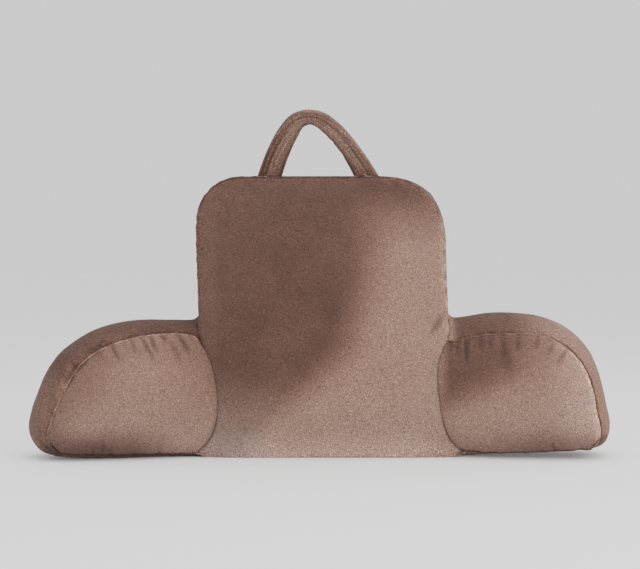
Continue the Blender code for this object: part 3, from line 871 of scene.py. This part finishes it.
RIGHT_ARM = dict(
    side=1,
    turn=np.radians(9),
    rise=0.012,
    flare=0.0150,
    flare_from=0.230,
    outline=(
        # side, out, up, bulge
        ("inner", 0.248, 0.014, 0.020),
        ("inner", 0.226, 0.030, 0.010),
        ("inner", 0.209, 0.055, 0.010),
        ("inner", 0.196, 0.095, 0.010),
        ("inner", 0.185, 0.135, 0.010),
        ("inner", 0.181, 0.175, 0.012),
        ("top", 0.202, 0.206, 0.036),
        ("top", 0.256, 0.212, 0.036),
        ("top", 0.298, 0.221, 0.033),
        ("top", 0.345, 0.223, 0.031),
        ("top", 0.390, 0.221, 0.027),
        ("top", 0.430, 0.206, 0.025),
        ("top", 0.450, 0.191, 0.024),
        ("tip", 0.466, 0.173, 0.023),
        ("tip", 0.479, 0.148, 0.021),
        ("tip", 0.489, 0.116, 0.020),
        ("tip", 0.494, 0.084, 0.022),
        ("tip", 0.500, 0.058, 0.021),
        ("tip", 0.498, 0.034, 0.017),
        ("bottom", 0.484, 0.019, 0.008),
        ("bottom", 0.390, 0.013, 0.007),
        ("bottom", 0.300, 0.010, 0.009),
    ),
    folds=(
        # from out, up to out, up, depth, half width: gathers under the top seam
        (0.236, 0.216, 0.234, 0.190, 0.0031, 0.0034),
        (0.248, 0.218, 0.248, 0.182, 0.0043, 0.0037),
        (0.263, 0.221, 0.264, 0.170, 0.0059, 0.0044),
        (0.289, 0.224, 0.289, 0.192, 0.0043, 0.0040),
        (0.308, 0.226, 0.307, 0.193, 0.0037, 0.0035),
        (0.329, 0.230, 0.332, 0.178, 0.0040, 0.0050),
        (0.357, 0.228, 0.355, 0.191, 0.0040, 0.0040),
        (0.392, 0.224, 0.387, 0.195, 0.0034, 0.0040),
        (0.421, 0.216, 0.406, 0.181, 0.0037, 0.0038),
        (0.447, 0.203, 0.422, 0.170, 0.0037, 0.0038),
        (0.330, 0.200, 0.347, 0.146, 0.0026, 0.0120),
        # along the inner seam, a notch above the bottom seam, and the tucked outer corner
        (0.214, 0.215, 0.200, 0.155, 0.0034, 0.0017),
        (0.423, 0.008, 0.416, 0.034, 0.0053, 0.0017),
        (0.478, 0.010, 0.501, 0.040, 0.0050, 0.0017),
    ),
    strip_creases=(
        # from X, height to X, height, depth, half width
        (0.484, 0.046, 0.506, 0.044, 0.0050, 0.0016),
        (0.482, 0.036, 0.503, 0.036, 0.0054, 0.0018),
        (0.466, 0.026, 0.503, 0.034, 0.0045, 0.0032),
        (0.493, 0.064, 0.508, 0.056, 0.0028, 0.0016),
    ),
    tuck=0.046,  # height below which the boxing's outer corner is tucked in
    # height, X and width of the pile's turn, its level on either side, and both on the boxing
    nap=(
        (0.066, 0.162, 0.15),
        (0.088, 0.216, 0.15),
        (0.109, 0.264, 0.15),
        (0.131, 0.308, 0.16),
        (0.152, 0.345, 0.17),
        (0.180, 0.381, 0.17),
        (0.220, 0.400, 0.16),
    ),
    nap_levels=(0.08, 0.93),
    # a lighter outer edge: partly the pile's lay, partly painted light where the panel turns towards the side
    # light
    edge_nap_and_light=0.60,
    nap_high=1.0,
    inner_nap_and_shade=((0.205, 0.232), (0.90, 0.0)),  # distances from the middle, levels
    # levels by distance from the middle, by which the panel is darker low down: painted shade where it turns
    # under
    foot_nap_and_shade=((0.25, 0.42, 0.50), (0.75, 0.22, 0.16)),
    strip_nap=((0.0, 0.300, 0.12), (0.3, 0.408, 0.12)),
    strip_levels=(0.05, 0.95),
    strip_low=0.85,
    strip_inner=1.15,
    strip_grey=((0.44, 0.50), (0.0, -0.5)),
    seam_rub_and_light=((0.0,), (0.9,)),
    edge_painted_light=((0.40, 0.46), (0.0, 1.20)),
    strip_painted_light=((0.0,), (0.0,)),
    seam_dark=((0.40, 0.44), (0.10, 1.0)),
)


def arm_sides(outline):
    """The four sides of an outline, each from its lower or inner end to the other, with both corners."""
    numbers = [row[1:] for row in outline]
    starts = [i for i, row in enumerate(outline) if row[0] != outline[i - 1][0]] + [len(outline)]
    closed = numbers + numbers[:1]
    inner, top, tip, bottom = (closed[a : b + 1] for a, b in zip(starts[:-1], starts[1:]))
    return inner, tip[::-1], bottom[::-1], top


def arm_form(arm):
    """One arm, its inner end still running into the backrest, and the depth of its panel's folds."""
    across, up = (bunched(count) for count in ARM_GRID[:2])
    front = seam_patch(*arm_sides(arm["outline"]), across, up)
    back = front.copy()
    back[..., 0] += ARM_BACK_SHORTER * (1 - across)[:, None] ** 4
    back[..., 1] += arm["rise"] * (front[..., 1] / front[..., 1].max()) ** 2

    def place(out, height, depth):
        """Straight on to the hinge, round a short arc there, and straight on at the arm's angle."""
        turn = arm["turn"]
        radius = 2 * ARM_BEND / turn
        turned = np.clip(out - ARM_HINGE + ARM_BEND, 0, 2 * ARM_BEND) / radius
        past = np.clip(out - ARM_HINGE - ARM_BEND, 0, None)
        x = np.minimum(out, ARM_HINGE - ARM_BEND) + radius * np.sin(turned) + past * np.cos(turn)
        forward = radius * (1 - np.cos(turned)) + past * np.sin(turn)
        climb = np.clip(1 - (out - arm["flare_from"]) / FLARE_REACH, 0, FLARE_MOST) ** 3
        climb = climb * np.clip((height - FLARE_HEIGHTS[0]) / np.ptp(FLARE_HEIGHTS), 0, 1)
        return np.stack(
            (
                arm["side"] * (x + depth * np.sin(turned)),
                ARM_FRONT - forward + depth * np.cos(turned),
                settled(height + arm["flare"] * climb),
            ),
            axis=-1,
        )

    folded = creased(front, arm["folds"])
    crown_front = ARM_CROWN_FRONT * swell(across, up, FRONT_POWER)
    crown_front -= np.minimum(folded, FOLD_MOST * crown_front)
    crown_back = ARM_CROWN_BACK * swell(across, up, BACK_POWER)
    width = np.full(front.shape[:2], ARM_BOXING)
    return *stuffed_form(front, back, crown_front, crown_back, width, place, ARM_GRID[2]), folded


def arm_nap(arm, points, patch):
    """The pile's level: it turns across the inner panel. An arm has its own levels along the panel's outer
    and inner edges, top and foot, low on its boxing and at the boxing's inner end. Of these, the outer edge's
    is partly painted light, and the inner edge's below 0 and the foot's are painted shade.
    """
    height = points[:, 2]
    from_middle = np.abs(points[:, 0])
    low, high = arm["nap_levels"]
    panel = low + (high - low) * turned_nap(points, arm["nap"])
    panel += arm["edge_nap_and_light"] * past(from_middle, *EDGE_SPAN)
    panel *= arm["nap_high"] + (1 - arm["nap_high"]) * past(height, *TOP_SPAN)
    panel += np.interp(from_middle, *arm["inner_nap_and_shade"]) * past(height, *INNER_SPAN)
    foot = np.interp(from_middle, *arm["foot_nap_and_shade"])
    panel *= foot + (1 - foot) * past(height, *FOOT_SPAN)
    low, high = arm["strip_levels"]
    strip = low + (high - low) * turned_nap(points, arm["strip_nap"])
    strip += (arm["strip_low"] - strip) * past(height, *STRIP_LOW_SPAN)
    strip += (arm["strip_inner"] - strip) * past(from_middle, *STRIP_INNER_SPAN)
    return np.select((patch == 0, patch == 2), (panel, strip), OUTER_NAP)


def cut_to_fit(piece, neighbour):
    """Takes from a piece what lies inside its grown neighbour."""
    cut = piece.modifiers.new("fit", "BOOLEAN")
    cut.operation = "DIFFERENCE"
    cut.solver = "MANIFOLD"
    cut.object = neighbour
    applied(piece)


def grown_copy(piece, growth):
    """A copy whose points stand this far out along their normals."""
    copy = piece.copy()
    copy.data = piece.data.copy()
    grown = point_array(copy.data) + growth * normal_array(copy.data)
    copy.data.vertices.foreach_set("co", grown.ravel())
    copy.data.update()
    copy.data.materials.clear()
    scene.collection.objects.link(copy)
    return copy


cutter = grown_copy(backrest, ARM_GAP)
ARMS = (("left_arm_cushion", "arm_left", LEFT_ARM), ("right_arm_cushion", "arm_right", RIGHT_ARM))
for piece_name, node, arm in ARMS:
    points, faces, off_seam, patch, folded = arm_form(arm)
    from_middle = np.abs(points[:, 0])
    tucked = past(points[:, 2], arm["tuck"], -TUCK_FADE) * past(from_middle, *TUCK_SPAN)
    tucked *= np.exp(-((off_seam / TUCK_REACH) ** 2))
    crease = creased(points[:, [0, 2]], arm["strip_creases"]) + TUCK_DEPTH * tucked
    crease *= patch == 2
    # Painted shade in the boxing's creases and tucked corner, in the panel's folds, and along the lowest
    # seams by the floor
    fold = fold_shade(STRIP_CREASE_DARK * crease)
    fold[: folded.size] = fold_shade(folded)
    low = FLOOR_DARK * smooth_step(2 - 2 * points[:, 2] / FLOOR_DARK_HEIGHT)
    fold = np.maximum(fold, low * np.exp(-((off_seam / FLOOR_DARK_REACH) ** 2)))
    strip_grey = np.interp(from_middle, *arm["strip_grey"])
    cushion = mesh_piece(
        piece_name,
        points,
        faces,
        off_seam=off_seam,
        nap=arm_nap(arm, points, patch),
        fold=fold,
        crease=crease,
        grey=np.where(patch == 2, strip_grey, GREY_ARM * past(points[:, 2], *GREY_SPAN)),
        mottle=mottled(off_seam, patch),
    )
    cushion.data.materials.append(plush(node.replace("_", " ") + " plush", PLUSH_DARK, PLUSH_LIGHT))
    held = (np.abs(off_seam) < ON_SEAM) | (points[:, 2] < ON_FLOOR) | (from_middle < ARM_ROOT)
    fullness = ARM_FULLNESS[0] + np.ptp(ARM_FULLNESS) * past(points[:, 2], *ARM_FULLNESS_SPAN)
    inflated(cushion, held, np.where(patch == 0, fullness, ARM_FULLNESS_BEHIND), ARM_SMALLER)
    subdivided(cushion)
    sew(cushion, arm)
    cut_to_fit(cushion, cutter)
    crease_against(cushion, backrest)
    crease_against(backrest, cushion)
    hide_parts(node)
    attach(cushion, "root")

# ---- Handle ------------------------------
# A flat strap of folded plush with a little filling, stitched along both edges. Its ends are sewn into the
# backrest's top seam, and it turns on edge as it bends over.

STRAP_GAP = 0.0002  # left between it and the backrest
STRAP_WIDTH = 0.043
STRAP_THICKNESS = 0.013
STRAP_SQUARENESS = 2.6
STRAP_GRID = (220, 56)  # faces along and round it
STRAP_STITCHES = (-0.38, 0.74)  # places across it, from its outer edge at -1 to its inner edge at 1
STRAP_STITCH_WIDTH = 0.07
STRAP_STITCH_DEPTH = 0.0018
STRAP_NAP = (
    # place across it, level of the pile
    (-1.00, 0.00),
    (-0.75, -0.02),
    (-0.38, -0.05),
    (-0.15, 0.35),
    (0.30, 0.40),
    (0.74, 0.15),
    (1.00, -0.10),
)
STRAP_BEND_NAP = 0.60  # more of it at the top of the bend
STRAP_RIGHT_NAP = (0.35, -0.15)  # and towards the right end, and its change across
STRAP_RIGHT_SPAN = (0.5, 0.2)  # in shares of its length
STRAP_STREAKS = (0.22, 5, 3, 3)  # lines brushed along it: level, waves across it, sway, waves in that
# painted shade in the stitched channels
STRAP_CHANNEL_DARK = 0.35
STRAP_WRINKLES = (
    # share of its length, depth and half width of a pinch in its inner edge
    (0.370, 0.0010, 0.016),
    (0.425, 0.0014, 0.018),
    (0.610, 0.0012, 0.018),
    (0.660, 0.0014, 0.014),
    (0.760, 0.0010, 0.020),
)
STRAP_SHADE = (0.440, 0.060, 0.55)  # share of its length where its inner edge gets painted shade, half width, level
STRAP_SHADE_EDGE = 0.8  # place across it where that is full
STRAP_DARK = (0.092, 0.049, 0.036, 1)
STRAP_LIGHT = (0.235, 0.140, 0.108, 1)
STRAP_ROUTE = (
    # X, Y, Z, roll in degrees, width as a share of the strap's
    (-0.097, -0.026, 0.490, 0, 1.02),
    (-0.0915, -0.026, 0.509, 0, 1.00),
    (-0.0760, -0.026, 0.552, 6, 0.95),
    (-0.0578, -0.024, 0.588, 24, 0.92),
    (-0.0405, -0.021, 0.6095, 46, 0.95),
    (-0.018, -0.018, 0.617, 60, 0.96),
    (0.002, -0.019, 0.611, 54, 0.98),
    (0.022, -0.021, 0.595, 44, 0.94),
    (0.045, -0.024, 0.570, 40, 0.92),
    (0.066, -0.026, 0.540, 32, 0.93),
    (0.083, -0.026, 0.511, 22, 0.97),
    (0.094, -0.026, 0.490, 18, 1.00),
)


def strap_form():
    """A section x ** n + y ** n = 1 carried along its route and rolled about it, less a stitched channel near
    each edge on both faces, and less each wrinkle's depth times exp(-(b / width) ** 2) along the inner edge.
    Its pile's streaks are the cosine of waves across it that sway along it.
    """
    share = np.linspace(0, 1, STRAP_GRID[0] + 1)
    route = curve_through(STRAP_ROUTE, share, measured=3)
    centre = route[:, :3]
    along = np.gradient(centre, axis=0)
    along /= np.linalg.norm(along, axis=1, keepdims=True)
    back = np.array((0.0, 1.0, 0.0)) - along * along[:, 1:2]
    back /= np.linalg.norm(back, axis=1, keepdims=True)
    outer = np.cross(back, along)
    roll = np.radians(route[:, 3])[:, None]
    wide = np.cos(roll) * outer + np.sin(roll) * back
    thick = np.cos(roll) * back - np.sin(roll) * outer

    angle = np.linspace(0, 2 * np.pi, STRAP_GRID[1], endpoint=False)
    rounding = 2 / STRAP_SQUARENESS
    across = np.sign(np.cos(angle)) * np.abs(np.cos(angle)) ** rounding
    deep = np.sign(np.sin(angle)) * np.abs(np.sin(angle)) ** rounding * STRAP_THICKNESS / 2
    stitches = np.array(STRAP_STITCHES)[:, None]
    channel = np.exp(-(((across - stitches) / STRAP_STITCH_WIDTH) ** 2)).max(axis=0)
    deep = deep - np.sign(deep) * STRAP_STITCH_DEPTH * channel
    at, pinch, half_pinch = np.array(STRAP_WRINKLES).T[..., None]
    pinched = (pinch * np.exp(-(((share - at) / half_pinch) ** 2))).sum(axis=0)[:, None]
    inwards = smooth_step(across) * pinched
    half_width = STRAP_WIDTH / 2 * route[:, 4:5]
    rings = centre[:, None] + (across * half_width - inwards)[..., None] * wide[:, None]
    rings = rings + deep[:, None] * thick[:, None]
    places = np.arange(rings[..., 0].size).reshape(rings.shape[:2])
    # Painted shade in the channels, in the wrinkles' pinches and under the inner edge at the bend
    shade_at, shade_width, shade = STRAP_SHADE
    share = share[:, None]
    shade = shade * np.exp(-(((share - shade_at) / shade_width) ** 2))
    shade = shade * smooth_step(across / STRAP_SHADE_EDGE)
    fold = np.maximum(STRAP_CHANNEL_DARK * channel, inwards / FOLD_DARK_DEPTH + shade)
    nap = np.interp(across, *np.array(STRAP_NAP).T) + STRAP_BEND_NAP * np.sin(np.pi * share) ** 4
    nap += past(share, *STRAP_RIGHT_SPAN) * (STRAP_RIGHT_NAP[0] + STRAP_RIGHT_NAP[1] * across)
    level, waves, sway, sway_waves = STRAP_STREAKS
    nap += level * np.cos(waves * np.pi * across + sway * np.sin(sway_waves * np.pi * share))
    faces = grid_faces(np.hstack((places, places[:, :1])))
    return rings.reshape(-1, 3), faces, nap.ravel(), fold.ravel()


points, faces, nap, fold = strap_form()
none = np.zeros(len(points))
ruffled = np.full(len(points), STRIP_MOTTLE)
strap = mesh_piece("handle_strap", points, faces, nap=nap, fold=fold, rub=none, grey=none, mottle=ruffled)
strap.data.materials.append(plush("strap plush", STRAP_DARK, STRAP_LIGHT))
strap_cutter = grown_copy(backrest, STRAP_GAP)
cut_to_fit(strap, strap_cutter)
bpy.data.objects.remove(cutter)
bpy.data.objects.remove(strap_cutter)
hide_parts("handle")
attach(strap, "root")
